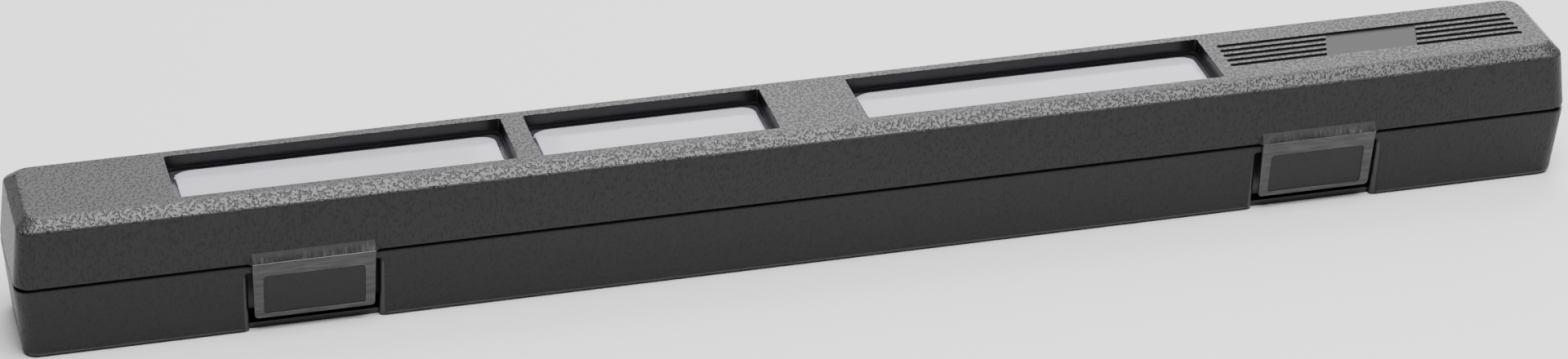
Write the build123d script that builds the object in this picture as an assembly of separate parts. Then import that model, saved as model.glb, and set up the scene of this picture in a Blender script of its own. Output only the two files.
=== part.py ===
from build123d import *
import os
from math import atan2, cos, degrees, sin

# Long slim plastic case for one hand tool: a lower half with a formed nest, a lid with three
# clear panes, a knuckle hinge along the back and two flap latches on film hinges in front.
# X runs along the case, -Y is the front, Z is up, and the origin is the middle of the underside.
# All sizes are in millimetres.

# Outer form
case_length = 690.0          # at the parting line
case_depth = 58.0            # at the parting line
base_height = 33.6           # underside to the base's rim
parting_gap = 1.4            # shadow gap between the two halves
lid_height = 30.0            # lid's lower edge to its top
corner_radius = 7.0          # upright corners at the parting line
wall = 2.8                   # moulded wall of both halves
base_side_lean = 3.6         # how far the base's front and back draw in towards the underside
base_end_lean = 2.6
lid_side_lean = 1.1          # how far the lid's front and back draw in up to the bevel
lid_end_lean = 2.8
bevel_inset = 5.0            # bevel round the lid's top, in plan
bevel_drop = 4.5             # and in height
underside_bevel = 2.0
rim_break = 0.6              # small bevel on the edges that meet at the parting line

# Tongue and rebate that locate the halves
tongue_inset = 1.7           # outer face of the case to the tongue
tongue_height = 3.0          # above the base's rim
fit_clearance = 0.3          # between the halves, and round parts that drop into each other
seat_clearance = 0.1         # between faces that rest on each other

# Windows, from the left end of the case; the right one fills what is left before the grooves
window_end_land = 70.3       # left end of the case to the first window
left_window_length = 144.5
window_bar = 10.3
middle_window_length = 104.2
window_land = 39.2           # between the middle window and the right one
window_to_grooves = 6.5
window_side_land = 4.4       # bevel to the window, front and back
window_corner = 1.0
window_sink = 7.0            # top of the lid to the foot of the recess
frame_wall = 1.8             # wall of the sunk frame
lip_width = 0.8              # small ledge at the foot of the recess
lip_height = 0.9

# Panes
pane_overlap = 3.8           # flange beyond the opening
pane_thickness = 1.5
pane_margin = 1.2            # lip to the raised field
pane_rise = 0.6              # flange to the edge of the raised field
pane_crown = 0.7             # extra height in the middle of the field
pane_corner = 4.0

# Two groups of grooves with a bare sunk field between them
groove_count = 5
groove_pitch = 4.6
groove_width = 2.5
groove_sink = 1.0            # grooves and field alike
groove_end_land = 16.5       # right end of the case to the grooves
groove_run = 137.0           # both groups and the field
left_groove_length = 48.0    # on the middle line
field_length = 42.5
field_slant = 0.33           # sideways shift of the field's ends per millimetre of depth

# Latches
latch_end_distances = {"left": 125.0, "right": 118.0}   # end of the case to the flap's middle
latch_width = 52.4
latch_taper = 0.6            # each side draws in towards the free end
latch_length = 28.2
latch_corner = 1.6
flap_thickness = 1.2         # thin enough to slide up past the rim when the lid is lifted
finger_lip_thickness = 2.4   # thicker free end that a finger pulls
finger_lip_length = 4.6
film_proud = 1.7             # film hinge's axis in front of the lid's face
film_drop = 0.1              # and below the lid's edge
film_radius = 0.5
film_clearance = 0.08
film_swell = 4.6             # height over which the lid's face swells out to the film hinge
flap_lap = 0.45              # free end stands this far out of the base's face
hook_reach = 1.4
hook_height = 3.4
hook_width = 40.0
panel_side_border = 4.6      # bright border round the grained panel
panel_top_border = 6.4
panel_foot_border = 2.0
panel_sink = 0.35
panel_flare = 1.5            # slope of the panel's sides, down to its floor

# Latch pockets in the base's front
pocket_sink = 3.4
pocket_side_gap = 1.6        # beside the flap, at the pocket's floor
pocket_flare = 3.4           # each side opens out by this much towards the face
ledge_height = 3.1           # rim ledge that the hook catches
pocket_corner = 2.5
pocket_run_out = 9.0         # how far the pocket's form goes on below the underside

# Rear hinges
hinge_end_distance = 125.0   # end of the case to the middle of an outer hinge
knuckle_radius = 3.4
knuckle_length = 14.0
knuckle_count = 3            # odd: the base has one more than the lid
knuckle_gap = 0.4            # between neighbours along the pin
knuckle_back_gap = 0.4       # knuckle to the back face
gusset_height = 8.5
gusset_share = 0.4           # gusset's outer edge, as a share of the knuckle's radius from the back face
gusset_angle = 0.5           # where the gusset meets the knuckle, in radians above the pin
pin_radius = 1.5
pin_clearance = 0.06

# Nest in the base, with hollows for the head, the shank and the grip of the tool
nest_sheet = 1.4
nest_drop = 3.2              # rim of the base to the nest's top
nest_ledge = 1.3             # width of the ledge that carries the nest
nest_ledge_height = 1.6
head_end_distance = 17.0     # end of the case to the hollow
head_length = 68.0
hollow_side_gap = 1.3        # base's inner wall to the widest hollows
hollow_floor_gap = 1.2       # base's floor to the underside of the deepest hollows
shank_width = 28.0
shank_rise = 2.0             # shank hollow's floor above the deepest ones
hollow_overlap = 7.0         # how far one hollow runs into the next
grip_end_distance = 23.0
grip_length = 258.0
grip_width = 34.0
finger_well_length = 34.0
finger_well_rise = 10.0
finger_well_from_head = 110.0
finger_well_from_grip = 44.0
hollow_corner = 8.0
mouth_flare = 1.6            # rounded-over mouth of each hollow
nest_pad_thickness = 3.0
nest_pad_margin = 2.5

# Liner of the lid
liner_sheet = 1.4
liner_step = 1.6             # flange that seats in the lid's rebate
hold_pad_drop = 12.0         # thickness of the pads under the liner
hold_pad_depth = 34.0
hold_pad_end_distance = 15.0 # end of the case to the left pad
hold_pad_window_gap = 4.6    # pad to the edge of a window
hold_pad_groove_inset = 13.5 # right pad's ends inside the groove field's

# Worked out from the above
lid_edge = base_height + parting_gap
lid_top = lid_edge + lid_height
bevel_foot = lid_top - bevel_drop
tongue_top = base_height + tongue_height
liner_foot = tongue_top + fit_clearance
rebate_top = liner_foot + liner_step + seat_clearance
frame_foot = lid_top - window_sink
pane_top = frame_foot - seat_clearance
liner_top = pane_top - pane_thickness - seat_clearance
nest_top = base_height - nest_drop
nest_foot = nest_top - nest_sheet
hinge_y = case_depth / 2 + knuckle_back_gap + knuckle_radius
hinge_z = (base_height + lid_edge) / 2
film_y = -case_depth / 2 - film_proud
film_z = lid_edge - film_drop
face_tilt = atan2(base_side_lean, base_height)
ledge_foot = base_height - ledge_height

left_end = -case_length / 2
right_end = case_length / 2
left_window_from = left_end + window_end_land
middle_window_from = left_window_from + left_window_length + window_bar
right_window_from = middle_window_from + middle_window_length + window_land
groove_end = right_end - groove_end_land
groove_start = groove_end - groove_run
field_from = groove_start + left_groove_length
field_to = field_from + field_length
window_spans = {
    "left": (left_window_from, left_window_from + left_window_length),
    "middle": (middle_window_from, middle_window_from + middle_window_length),
    "right": (right_window_from, groove_start - window_to_grooves),
}
window_depth = case_depth - 2 * (lid_side_lean + bevel_inset + window_side_land)
latch_places = {"left": left_end + latch_end_distances["left"],
                "right": right_end - latch_end_distances["right"]}
hinge_places = {"left": left_end + hinge_end_distance, "middle": 0.0,
                "right": right_end - hinge_end_distance}
hold_pad_spans = {
    "left": (left_end + hold_pad_end_distance, left_window_from - 2 * hold_pad_window_gap),
    "middle": (right_window_from - window_land + hold_pad_window_gap,
               right_window_from - hold_pad_window_gap),
    "right": (groove_start + hold_pad_groove_inset, groove_end - hold_pad_groove_inset),
}


def hollow_width(depth):
    """Widest hollow of this depth that clears the base's leaning inner walls."""
    foot = nest_top - depth - nest_sheet
    room = case_depth / 2 - base_side_lean * (1 - foot / base_height) - wall
    return 2 * (room - hollow_side_gap - nest_sheet)


# Each hollow as its two ends along X, its width and its depth
deepest = nest_top - nest_sheet - wall - hollow_floor_gap
finger_well_depth = deepest - finger_well_rise
head_from = left_end + head_end_distance
head_to = head_from + head_length
grip_to = right_end - grip_end_distance
grip_from = grip_to - grip_length
head_hollow = (head_from, head_to, hollow_width(deepest), deepest)
shank_hollow = (head_to - hollow_overlap, grip_from + hollow_overlap, shank_width, deepest - shank_rise)
grip_hollow = (grip_from, grip_to, grip_width, deepest)
finger_wells = (head_to + finger_well_from_head, grip_from - finger_well_from_grip)


def outline(length, depth, radius, z):
    """Rounded rectangle seen from above, at height z."""
    return Pos(0, 0, z) * RectangleRounded(length, depth, radius)


def base_plan(z, inset=0.0):
    """Outline of the base's outer faces at height z, drawn in by inset."""
    share = 1 - z / base_height
    length = case_length - 2 * (base_end_lean * share + inset)
    depth = case_depth - 2 * (base_side_lean * share + inset)
    return outline(length, depth, corner_radius - 0.6 * inset, z)


def lid_plan(z, inset=0.0):
    """Outline of the lid's upright outer faces at height z, drawn in by inset."""
    share = (z - lid_edge) / (bevel_foot - lid_edge)
    length = case_length - 2 * (lid_end_lean * share + inset)
    depth = case_depth - 2 * (lid_side_lean * share + inset)
    return outline(length, depth, corner_radius - 0.6 * inset, z)


def bevel_plan(z, inset):
    """Outline of the lid's flat top, drawn in by inset, at height z."""
    length = case_length - 2 * (lid_end_lean + bevel_inset + inset)
    depth = case_depth - 2 * (lid_side_lean + bevel_inset + inset)
    return outline(length, depth, corner_radius - 0.6 * (bevel_inset + 0.4 * inset), z)


def well(span, width, corner, top, foot, lean=0.0, grow=0.0):
    """Block over a span of X with rounded corners; its foot is smaller by lean on every side."""
    start, end = span
    mouth = RectangleRounded(end - start + 2 * grow, width + 2 * grow, corner + grow)
    draft = degrees(atan2(lean, top - foot))
    return extrude(Pos((start + end) / 2, 0, top) * mouth, amount=top - foot, dir=(0, 0, -1), taper=draft)


def around(middle, length):
    """Span of X of this length round its middle."""
    return (middle - length / 2, middle + length / 2)


def along_x(profile, middle, length):
    """Sweeps a profile, drawn in Y and Z, evenly to both sides of its middle along X."""
    return Pos(middle, 0, 0) * extrude(Plane.YZ * profile, amount=length / 2, both=True)


def latch_pocket(x, grow=0.0):
    """Hollow behind a latch flap, open at the underside; grow adds the wall round it."""
    lean_plane = Plane(
        origin=(x, -case_depth / 2 + sin(face_tilt) * ledge_height, ledge_foot),
        x_dir=(1, 0, 0),
        z_dir=(0, -cos(face_tilt), -sin(face_tilt)),
    )
    floor_width = latch_width + 2 * (pocket_side_gap + grow)
    face_width = floor_width + 2 * pocket_flare
    floor_height = ledge_foot + pocket_run_out + grow
    face_height = floor_height + 2 * rim_break
    floor = RectangleRounded(floor_width, floor_height, pocket_corner)
    floor = lean_plane.offset(-pocket_sink - grow) * Pos(0, -floor_height / 2 + grow, 0) * floor
    mouth = RectangleRounded(face_width, face_height, pocket_corner + rim_break)
    mouth = Pos(0, -face_height / 2 + grow + rim_break / 2, 0) * mouth
    face = lean_plane * mouth
    out = lean_plane.offset(4 * rim_break) * mouth
    return loft([floor, face], ruled=True) + loft([face, out], ruled=True)


def hinge_spans(own):
    """Spans along X of one half's knuckles: own is 0 for the base and 1 for the lid."""
    pitch = knuckle_length + knuckle_gap
    first = -(knuckle_count - 1) / 2 * pitch
    places = [first + pitch * index for index in range(knuckle_count)]
    return [hinge_x + place for hinge_x in hinge_places.values() for place in places[own::2]]


def knuckle_profile(up):
    """Knuckle with the gusset that carries it; up is 1 for the lid and -1 for the base."""
    ring = Pos(hinge_y, hinge_z) * Circle(knuckle_radius)
    root_y = case_depth / 2 - wall / 2
    near = hinge_z + up * (parting_gap / 2 + seat_clearance)
    far = near + up * gusset_height
    rib = Polygon(
        (root_y, near), (root_y, far), (case_depth / 2 + gusset_share * knuckle_radius, far),
        (hinge_y + knuckle_radius * cos(gusset_angle), hinge_z + up * knuckle_radius * sin(gusset_angle)),
        (hinge_y, near), align=None)
    return ring + rib


def add_knuckles(shell, own, up):
    """Adds one half's knuckles to its shell and drills them for the pins."""
    profile = knuckle_profile(up)
    for middle in hinge_spans(own):
        shell += along_x(profile, middle, knuckle_length)
    bore = Pos(hinge_y, hinge_z) * Circle(pin_radius + pin_clearance)
    for hinge_x in hinge_places.values():
        shell -= along_x(bore, hinge_x, 2 * knuckle_count * knuckle_length)
    return shell


def base_shell():
    """Lower moulding: drafted tray with a tongue, a ledge for the nest and two latch pockets."""
    block = loft([base_plan(0), base_plan(base_height)], ruled=True)
    block = chamfer(block.edges().group_by(Axis.Z)[0], underside_bevel)
    block = chamfer(block.edges().group_by(Axis.Z)[-1], rim_break)
    tongue = extrude(outline(case_length - 2 * tongue_inset, case_depth - 2 * tongue_inset,
                             corner_radius - tongue_inset / 2, base_height - 1), amount=tongue_height + 1)
    hollow = loft([base_plan(wall, wall), base_plan(base_height, wall)], ruled=True)
    hollow += extrude(base_plan(base_height, wall), amount=tongue_height + 1)
    seat = nest_foot - seat_clearance
    ledge = extrude(base_plan(seat, wall / 2) - base_plan(seat, wall + nest_ledge), amount=-nest_ledge_height)
    shell = block + tongue - hollow + ledge
    for x in latch_places.values():
        shell += latch_pocket(x, wall) & block
    for x in latch_places.values():
        shell -= latch_pocket(x)
    return add_knuckles(shell, 0, -1)


def window_opening(span):
    """What a window takes out of the lid: a drafted recess, then a narrower mouth below the lip."""
    recess = well(span, window_depth, window_corner, lid_top + 1, frame_foot + lip_height)
    return recess + well(span, window_depth, pane_corner, lid_top, frame_foot - 1, grow=-lip_width)


def groove_field():
    """Two groups of grooves that run out of a bare sunk field with slanted ends."""
    cuts = Part()
    for index in range(groove_count):
        y = (index - (groove_count - 1) / 2) * groove_pitch
        for start, end in ((groove_start, field_from + field_slant * y + groove_width),
                           (field_to + field_slant * y - groove_width, groove_end)):
            slot = Pos((start + end) / 2, y, lid_top + 1) * SlotOverall(end - start, groove_width)
            cuts += extrude(slot, amount=-(groove_sink + 1))
    half = ((groove_count - 1) * groove_pitch + groove_width) / 2
    corners = [(edge + field_slant * y, y) for edge, y in
               ((field_from, -half), (field_to, -half), (field_to, half), (field_from, half))]
    field = Pos(0, 0, lid_top + 1) * Polygon(*corners, align=None)
    return cuts + extrude(field, amount=-(groove_sink + 1))


def film_swelling(x):
    """Swelling on the lid's face that carries a latch's film hinge, coved round its bead."""
    face = -case_depth / 2
    tip_y = film_y - 0.6 * film_radius
    profile = Polygon(
        (face + wall / 2, lid_edge), (film_y, lid_edge), (tip_y, lid_edge + film_radius),
        (face + lid_side_lean / 5, lid_edge + film_swell), (face + wall / 2, lid_edge + film_swell),
        align=None)
    profile -= Pos(film_y, film_z) * Circle(film_radius + film_clearance)
    return along_x(profile, x, latch_width)


def lid_shell():
    """Upper moulding: drafted and bevelled, with three sunk window frames and the groove field."""
    block = loft([lid_plan(lid_edge), lid_plan(bevel_foot)], ruled=True)
    block += loft([lid_plan(bevel_foot), bevel_plan(lid_top, 0)], ruled=True)
    block = chamfer(block.edges().group_by(Axis.Z)[0], rim_break)
    inner_bevel_foot = bevel_foot - 0.4 * wall
    hollow = loft([lid_plan(lid_edge - 1, wall), lid_plan(inner_bevel_foot, wall)], ruled=True)
    hollow += loft([lid_plan(inner_bevel_foot, wall), bevel_plan(lid_top - wall, 0.6 * wall)], ruled=True)
    rebate = loft([lid_plan(lid_edge - 1, tongue_inset - fit_clearance),
                   lid_plan(rebate_top, tongue_inset - fit_clearance)], ruled=True)
    shell = block - hollow - rebate
    for span in window_spans.values():
        shell += well(span, window_depth, window_corner, lid_top - wall / 2, frame_foot, grow=frame_wall)
    for span in window_spans.values():
        shell -= window_opening(span)
    shell -= groove_field()
    for x in latch_places.values():
        shell += film_swelling(x)
    return add_knuckles(shell, 1, 1)


def pane(span):
    """Clear pane: a flange under the frame's lip, and a raised field with a shallow crown."""
    flange_foot = pane_top - pane_thickness
    flange = well(span, window_depth, pane_corner, pane_top, flange_foot, grow=pane_overlap)
    inset = lip_width + pane_margin
    half = window_depth / 2 - inset
    radius = (half ** 2 + pane_crown ** 2) / (2 * pane_crown)

    def crowned(shrink, drop):
        """Field as a block under a shallow cylinder, drawn in and let down for the inner face."""
        top = pane_top + pane_rise + pane_crown - drop
        block = well(span, window_depth, pane_corner + inset, top, flange_foot - drop, grow=-inset - shrink)
        dome = along_x(Pos(0, top - radius) * Circle(radius), (span[0] + span[1]) / 2, case_length)
        return block & dome

    return flange + crowned(0, 0) - crowned(pane_thickness, pane_thickness)


def nest():
    """Formed tray: a flat sheet with hollows for head, shank and grip, and two finger wells."""
    def hollows(grow):
        """All hollows as one solid, grown by the sheet for the outside of the tray."""
        solid = Part()
        for start, end, width, depth in (head_hollow, shank_hollow, grip_hollow):
            solid += well((start, end), width, hollow_corner, nest_top, nest_top - depth - grow, grow=grow)
        for x in finger_wells:
            solid += well(around(x, finger_well_length), hollow_width(finger_well_depth), hollow_corner,
                          nest_top, nest_top - finger_well_depth - grow, grow=grow)
        return solid

    sheet = extrude(base_plan(nest_foot, wall + fit_clearance), amount=nest_sheet)
    tray = sheet + hollows(nest_sheet) - hollows(0)
    for start, end, width, depth in (head_hollow, shank_hollow, grip_hollow):
        tray -= well((start, end), width, hollow_corner, nest_top, nest_top - mouth_flare,
                     mouth_flare, mouth_flare)
    for x in latch_places.values():
        tray -= latch_pocket(x, wall + fit_clearance)
    return tray


def nest_pad(hollow):
    """Foam pad on the floor of one of the nest's hollows."""
    start, end, width, depth = hollow
    floor = nest_top - depth
    return well((start, end), width, hollow_corner, floor + nest_pad_thickness, floor, grow=-nest_pad_margin)


def liner():
    """Inner wall of the lid: seats in the rebate, rises to the panes and clamps their flanges."""
    outer = wall + fit_clearance
    ceiling = liner_top
    body = loft([lid_plan(liner_foot, outer), lid_plan(ceiling, outer)], ruled=True)
    body += loft([lid_plan(liner_foot, tongue_inset + fit_clearance / 2),
                  lid_plan(liner_foot + liner_step, tongue_inset + fit_clearance / 2)], ruled=True)
    body -= loft([lid_plan(liner_foot - 1, outer + liner_sheet),
                  lid_plan(ceiling - liner_sheet, outer + liner_sheet)], ruled=True)
    for span in window_spans.values():
        body -= well(span, window_depth, pane_corner, ceiling + 1, ceiling - liner_sheet - 1, grow=-lip_width)
    return body


def hold_pad(span):
    """Foam pad under the liner that holds the tool down."""
    top = liner_top - liner_sheet
    return well(span, hold_pad_depth, pane_corner, top, top - hold_pad_drop)


def latch(x):
    """Flap latch: film-hinge bead, thin upper part over the rim, hook, sunk panel, free end."""
    free_z = film_z - latch_length
    free_y = -case_depth / 2 + base_side_lean * (1 - free_z / base_height) - flap_lap
    tilt = atan2(free_y - film_y, film_z - free_z)

    def at(down, inward):
        """Point of the side profile, measured down the flap's face and inward from it."""
        return (film_y + down * sin(tilt) + inward * cos(tilt),
                film_z - down * cos(tilt) + inward * sin(tilt))

    hook_top = (film_z - ledge_foot + fit_clearance) / cos(tilt)
    lip_top = latch_length - finger_lip_length
    slab = Polygon(
        at(-0.2 * film_radius, 0), at(0.5 * film_radius, flap_thickness), at(lip_top, flap_thickness),
        at(lip_top + finger_lip_thickness - flap_thickness, finger_lip_thickness),
        at(latch_length, finger_lip_thickness), at(latch_length, 0), align=None)
    slab += Pos(film_y, film_z) * Circle(film_radius)
    hook = Polygon(
        at(hook_top + seat_clearance, flap_thickness / 2),
        at(hook_top + seat_clearance, flap_thickness + hook_reach),
        at(hook_top + hook_height / 2, flap_thickness + hook_reach),
        at(hook_top + hook_height, flap_thickness / 2), align=None)
    body = along_x(slab, x, latch_width) + along_x(hook, x, hook_width)
    half = latch_width / 2
    low = film_z - latch_length
    face = Polygon((-half, film_z + 2), (half, film_z + 2), (half - latch_taper, low),
                   (-half + latch_taper, low), align=None)
    face = fillet(face.vertices().sort_by(Axis.Y)[:2], latch_corner)
    body &= Pos(x, 0, 0) * extrude(Plane.XZ * face, amount=case_depth, both=True)
    panel_middle = (panel_top_border + latch_length - panel_foot_border) / 2
    face_plane = Plane(origin=(x, *at(panel_middle, 0)), x_dir=(1, 0, 0), z_dir=(0, -cos(tilt), -sin(tilt)))
    panel_width = latch_width - 2 * panel_side_border
    panel_height = latch_length - panel_top_border - panel_foot_border
    low_panel = face_plane.offset(-panel_sink) * RectangleRounded(panel_width, panel_height, latch_corner)
    high_panel = face_plane.offset(1) * RectangleRounded(
        panel_width + 2 * panel_flare, panel_height + 2 * panel_flare, latch_corner + panel_flare)
    return body - loft([low_panel, high_panel], ruled=True)


def hinge_pin(x):
    """Plain steel pin through one group of knuckles."""
    length = knuckle_count * knuckle_length + (knuckle_count - 1) * knuckle_gap - 1
    return Pos(x, hinge_y, hinge_z) * Rot(0, 90, 0) * Cylinder(pin_radius, length)


def main():
    """Builds every piece and writes one file for each."""
    pieces = {"base_shell": base_shell(), "tool_nest": nest(), "head_pad": nest_pad(head_hollow),
              "grip_pad": nest_pad(grip_hollow), "lid_shell": lid_shell(), "lid_liner": liner()}
    for side, x in hinge_places.items():
        pieces["hinge_pin_" + side] = hinge_pin(x)
    for side, span in window_spans.items():
        pieces["window_pane_" + side] = pane(span)
    for side, span in hold_pad_spans.items():
        pieces["hold_down_pad_" + side] = hold_pad(span)
    for side, x in latch_places.items():
        pieces["latch_" + side] = latch(x)
    os.makedirs("parts", exist_ok=True)
    for name, piece in pieces.items():
        export_step(piece, "parts/" + name + ".step")


main()
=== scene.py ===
from math import atan2, cos, pi, radians, sin

import bmesh
import bpy
from mathutils import Matrix, Vector


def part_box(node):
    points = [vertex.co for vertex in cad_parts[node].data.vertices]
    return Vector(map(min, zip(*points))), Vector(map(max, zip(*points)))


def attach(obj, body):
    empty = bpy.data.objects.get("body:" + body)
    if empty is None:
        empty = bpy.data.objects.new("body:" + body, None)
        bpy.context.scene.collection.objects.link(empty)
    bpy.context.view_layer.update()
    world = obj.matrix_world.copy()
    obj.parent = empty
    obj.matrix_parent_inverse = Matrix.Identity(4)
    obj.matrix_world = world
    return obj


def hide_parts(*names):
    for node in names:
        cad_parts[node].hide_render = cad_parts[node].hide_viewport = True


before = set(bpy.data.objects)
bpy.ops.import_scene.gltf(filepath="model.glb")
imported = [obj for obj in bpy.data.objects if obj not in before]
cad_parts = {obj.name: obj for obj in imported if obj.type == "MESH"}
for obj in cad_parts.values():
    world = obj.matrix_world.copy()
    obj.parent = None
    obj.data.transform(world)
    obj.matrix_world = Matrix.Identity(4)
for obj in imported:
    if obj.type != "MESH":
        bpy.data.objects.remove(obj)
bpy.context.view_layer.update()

bl_info = {
    "name": "Windowed tool case",
    "version": (1, 0, 0),
    "blender": (4, 5, 0),
    "location": "View3D > Sidebar > Tool case",
    "description": "Models a long moulded tool case with sunk windows, grooves and flap latches",
    "category": "Add Mesh",
}

MM = 0.001
TINY = 1e-6

# Places and small details that the property groups don't offer, in metres
HINGE_END = 125 * MM            # end of the case to the middle of an outer hinge
LATCH_ENDS = {"left": 125 * MM, "right": 118 * MM}      # end of the case to a flap's middle
KNUCKLE_RADIUS = 3.4 * MM
KNUCKLE_LENGTH = 14 * MM
KNUCKLE_PITCH = 14.4 * MM
KNUCKLE_GAP = 0.4 * MM          # case's back to the knuckles
GUSSET_START = 0.8 * MM         # hinge axis to the near end of a knuckle's gusset
GUSSET_HEIGHT = 8.5 * MM
REBATE_INSET = 1.4 * MM         # outer face of the lid to the rebate that takes the tongue
REBATE_HEIGHT = 3.6 * MM
POCKET_CORNER = 2.5 * MM
HOOK_HALF = 20 * MM             # half of the hook's length
HOOK_HEIGHT = 3.4 * MM
HOOK_REACH = 1.4 * MM           # flap's inner face to the hook's tip
MOAT_DEPTH = 0.5 * MM

# Directions of the camera that was fitted to the photo's edges, windows, grooves and latches
CAMERA_RIGHT = Vector((0.96708, -0.25433, 0.00825))
CAMERA_UP = Vector((0.11429, 0.46308, 0.87891))

# Soft lights: place, direction that it faces, width, height, and the setting with its radiance.
# The two back cards stand side by side, and the left pane mirrors the dimmer one. The high card
# and the top card carry the light on over the case, so that the bevel is as bright as the top.
CARDS = {
    "back_card_left": ((-0.427, 2.203, 1.2), (-0.52, -1.95, -1.2), 1.44, 1.3, "left_light"),
    "back_card_right": ((1.215, 1.764, 1.2), (-0.52, -1.95, -1.2), 1.96, 1.3, "right_light"),
    "top_card": ((0.15, -0.5, 1.95), (-0.15, 0.24, -0.95), 1.5, 1.5, "top_light"),
    "high_card": ((0.22, 1.1, 2.2), (-0.12, -0.45, -0.9), 1.7, 1.2, "high_light"),
}


def length(name, text, millimetres):
    """Size in metres that a user can change, given here in millimetres."""
    return bpy.props.FloatProperty(
        name=name, description=text, default=millimetres * MM, min=0.0, precision=5, unit="LENGTH")


def linear(text):
    """Linear colour with full alpha from an sRGB hex value."""
    values = [int(text[place:place + 2], 16) / 255 for place in (1, 3, 5)]
    return [v / 12.92 if v <= 0.04045 else ((v + 0.055) / 1.055) ** 2.4 for v in values] + [1.0]


def colour(name, text, value):
    """Colour that a user can change, given here as an sRGB hex value."""
    return bpy.props.FloatVectorProperty(
        name=name, description=text, default=linear(value), min=0.0, max=1.0, size=4, subtype="COLOR")


class CaseSizes(bpy.types.PropertyGroup):
    """Outer form of the two halves."""
    case_length: length("Length", "Length at the parting line", 690)
    case_depth: length("Depth", "Front to back at the parting line", 58)
    base_height: length("Base height", "Underside to the base's rim", 33.6)
    lid_edge: length("Lid edge", "Underside to the lid's lower edge", 35)
    lid_top: length("Lid top", "Underside to the flat top", 65)
    corner: length("Corner radius", "Upright corners", 7)
    wall: length("Wall", "Moulded wall", 2.8)
    base_side_lean: length("Base side draft", "How far front and back draw in", 3.6)
    base_end_lean: length("Base end draft", "How far the ends draw in", 2.6)
    lid_side_lean: length("Lid side draft", "How far front and back draw in", 1.1)
    lid_end_lean: length("Lid end draft", "How far the ends draw in", 2.8)
    bevel_inset: length("Bevel inset", "Bevel round the top, in plan", 5)
    bevel_drop: length("Bevel drop", "Bevel round the top, in height", 4.5)
    lower_crease: length("Lower crease", "Rounding between the walls and the bevel", 0.8)
    upper_crease: length("Upper crease", "Rounding between the bevel and the top", 1.2)
    underside_round: length("Underside rounding", "Edge radius at the underside", 2.2)
    rim_round: length("Rim rounding", "Edge radius at the parting line", 0.8)
    tongue_inset: length("Tongue inset", "Outer face to the locating tongue", 1.7)
    tongue_height: length("Tongue height", "Tongue above the base's rim", 3)


class LidSizes(bpy.types.PropertyGroup):
    """Windows and grooves of the lid."""
    window_sink: length("Window sink", "Top of the lid to the foot of the recess", 7)
    window_width: length("Window width", "Recess from front to back", 37)
    window_corner: length("Window corner", "Corner radius of the recess", 1)
    frame_wall: length("Frame wall", "Wall of the sunk frame", 1.8)
    lip_width: length("Lip width", "Ledge at the foot of the recess", 0.8)
    lip_height: length("Lip height", "Height of that ledge", 0.9)
    edge_round: length("Edge rounding", "Rounding of the recess's upper edge", 0.5)
    pane_overlap: length("Pane overlap", "Flange beyond the window", 3.8)
    pane_thickness: length("Pane thickness", "Sheet of the panes", 1.5)
    pane_margin: length("Pane margin", "Lip to the moat round the raised field", 1.9)
    pane_rise: length("Pane rise", "Flange to the edge of the raised field", 0.9)
    pane_crown: length("Pane crown", "Extra height in the middle of the field", 0.7)
    pane_corner: length("Pane corner", "Corner radius of the mouth", 4)
    groove_start: length("Grooves from", "Outer end of the left group", 191.5)
    groove_end: length("Grooves to", "Outer end of the right group", 328.5)
    field_from: length("Field from", "Left edge of the bare field", 239.5)
    field_to: length("Field to", "Right edge of the bare field", 282)
    groove_pitch: length("Groove pitch", "From groove to groove", 4.6)
    groove_width: length("Groove width", "Width of a groove", 2.5)
    groove_sink: length("Groove depth", "Depth of grooves and field", 1)
    groove_count: bpy.props.IntProperty(
        name="Grooves", description="Grooves in a group", default=5, min=1)
    field_slant: bpy.props.FloatProperty(
        name="Field slant", description="Sideways shift of the field's ends for each unit of depth",
        default=0.33)


class LatchSizes(bpy.types.PropertyGroup):
    """Flaps, their film hinges and their pockets."""
    width: length("Flap width", "Along the case", 52.4)
    reach: length("Flap length", "Film hinge to free end", 28.2)
    taper: length("Flap taper", "Each side draws in towards the free end", 0.6)
    thickness: length("Flap thickness", "Upper part of the flap", 1.2)
    lip_thickness: length("Finger lip thickness", "Free end", 2.4)
    lip_length: length("Finger lip length", "Thick part at the free end", 4.6)
    film_proud: length("Film hinge stand-off", "Axis in front of the lid's edge", 1.7)
    film_drop: length("Film hinge drop", "Axis below the lid's edge", 0.1)
    film_radius: length("Film hinge radius", "Bead at the top of the flap", 0.5)
    swell: length("Swelling height", "Lid wall that carries the film hinge", 4.6)
    swell_blend: length("Swelling blend", "Length over which its ends run out into the wall", 4)
    border: length("Border", "Smooth border beside the grained panel", 4.6)
    upper_border: length("Upper border", "Smooth border above the panel", 6.4)
    lower_border: length("Lower border", "Smooth border below the panel", 2.0)
    corner: length("Flap corner", "Corners of the free end", 1.8)
    panel_corner: length("Panel corner", "Corners of the grained panel", 1.6)
    panel_sink: length("Panel depth", "Step down to the grained panel", 0.35)
    pocket_sink: length("Pocket depth", "Base's face to the pocket's floor", 3.4)
    pocket_gap: length("Pocket gap", "Beside the flap at the floor", 1.6)
    pocket_flare: length("Pocket flare", "Each side opens out by this much", 3.4)
    ledge: length("Rim ledge", "Rim that the hook catches", 3.1)


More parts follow.
